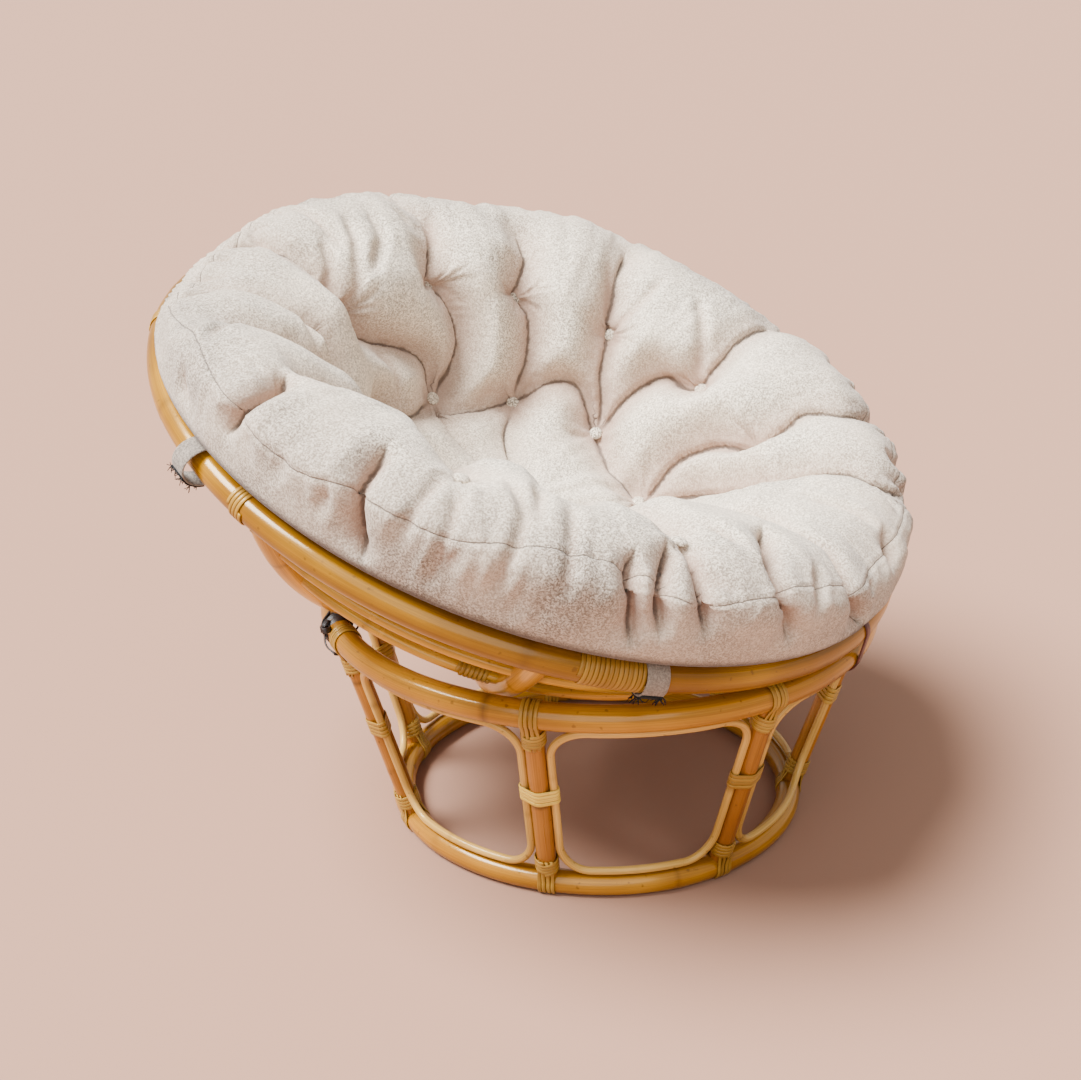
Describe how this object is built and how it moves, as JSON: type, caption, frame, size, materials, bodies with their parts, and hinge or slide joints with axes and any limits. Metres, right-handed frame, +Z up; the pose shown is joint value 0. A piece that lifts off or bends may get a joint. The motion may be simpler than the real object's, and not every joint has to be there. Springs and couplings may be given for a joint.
{
  "type": "papasan chair",
  "caption": "Round rattan bowl chair: a tufted fabric cushion in a ribbed cane bowl that leans back on a separate flared ring stand with cane loops between its uprights.",
  "frame": {"origin": "on the floor, under the middle of the chair's outline as it stands reclined", "axes": "+Z up, -Y towards the front where the bowl is lowest, +X to the sitter's left"},
  "size_m": [1.1098, 1.0376, 0.8209],
  "materials": {
    "rattan": "satin",
    "pale_cane": "satin",
    "linen": "matte",
    "webbing": "matte",
    "leather": "satin"
  },
  "bodies": {
    "base": {"base_bottom_ring": "rattan", "base_top_ring": "rattan", "upright_1": "rattan", "panel_loop_1": "pale_cane", "middle_band_1": "pale_cane", "top_binding_1": "pale_cane", "foot_binding_1": "pale_cane", "upright_2": "rattan", "panel_loop_2": "pale_cane", "middle_band_2": "pale_cane", "top_binding_2": "pale_cane", "foot_binding_2": "pale_cane", "upright_3": "rattan", "panel_loop_3": "pale_cane", "middle_band_3": "pale_cane", "top_binding_3": "pale_cane", "foot_binding_3": "pale_cane", "upright_4": "rattan", "panel_loop_4": "pale_cane", "middle_band_4": "pale_cane", "top_binding_4": "pale_cane", "foot_binding_4": "pale_cane", "upright_5": "rattan", "panel_loop_5": "pale_cane", "middle_band_5": "pale_cane", "top_binding_5": "pale_cane", "foot_binding_5": "pale_cane", "upright_6": "rattan", "panel_loop_6": "pale_cane", "middle_band_6": "pale_cane", "top_binding_6": "pale_cane", "foot_binding_6": "pale_cane", "upright_7": "rattan", "panel_loop_7": "pale_cane", "middle_band_7": "pale_cane", "top_binding_7": "pale_cane", "foot_binding_7": "pale_cane"},
    "ties": {"leather_tie_front": "leather", "leather_tie_side": "leather"},
    "bowl": {"bowl_rim": "rattan", "bowl_rib_1": "rattan", "bowl_rib_2": "rattan", "bowl_rib_3": "rattan", "bowl_rib_4": "rattan", "bowl_rib_5": "rattan", "bowl_rib_6": "rattan", "bowl_rib_7": "rattan", "bowl_rib_8": "rattan", "bowl_mid_ring_1": "rattan", "bowl_mid_ring_2": "rattan", "bowl_hub_ring": "rattan", "rim_splice_winding": "pale_cane", "mid_ring_winding": "pale_cane"},
    "cushion": {"cushion": "linen", "cushion_strap_1": "webbing", "cushion_strap_2": "webbing"}
  },
  "joints": [
    {"name": "bowl_swivel", "type": "hinge", "parent": "base", "child": "ties", "pos_m": [0.00433, -0.09785, 0.81337], "axis": [0, 0, 1], "continuous": true, "deforming": ["leather_tie_front", "leather_tie_side"]},
    {"name": "bowl_tilt", "type": "hinge", "parent": "ties", "child": "bowl", "pos_m": [0.00433, -0.09785, 0.81337], "axis": [1, 0, 0], "range_deg": [-21.7, 0], "deforming": ["leather_tie_front", "leather_tie_side"]},
    {"name": "cushion_lift", "type": "slide", "parent": "bowl", "child": "cushion", "axis": [0, -0.3707, 0.9287], "range_m": [0, 0.15], "deforming": ["cushion_strap_1", "cushion_strap_2"]}
  ]
}
